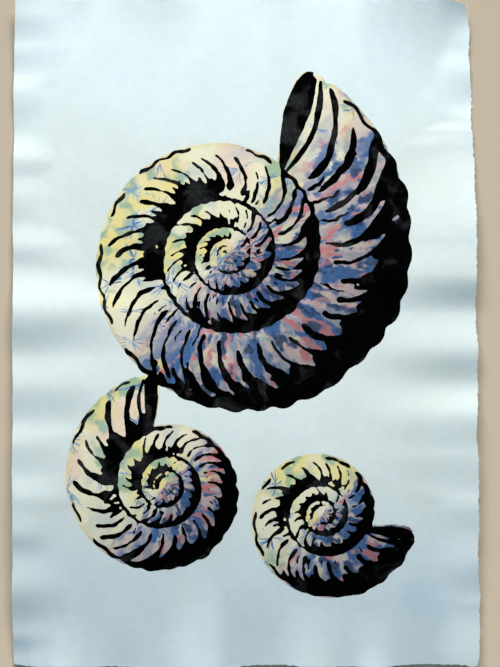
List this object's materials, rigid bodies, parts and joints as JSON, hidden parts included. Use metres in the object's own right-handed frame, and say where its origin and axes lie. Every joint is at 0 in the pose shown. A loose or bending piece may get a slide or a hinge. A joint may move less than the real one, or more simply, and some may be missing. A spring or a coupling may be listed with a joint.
{
  "type": "unframed painting on a sheet of paper",
  "caption": "Unframed ink and watercolour painting on a portrait sheet of heavy mould-made paper with rough deckle edges, its edges cockled into soft waves.",
  "frame": {"origin": "under the middle of the sheet's outline, on the surface that it rests on", "axes": "+X to the picture's right, +Y to the picture's top along the sheet's long side, +Z out of the painted face"},
  "size_m": [0.3926, 0.562, 0.0063],
  "materials": {
    "painted_paper": "matt, cold-pressed tooth, with black ink and watercolour on its upper face"
  },
  "bodies": {
    "root": {"painted_sheet": "painted_paper"}
  },
  "joints": []
}
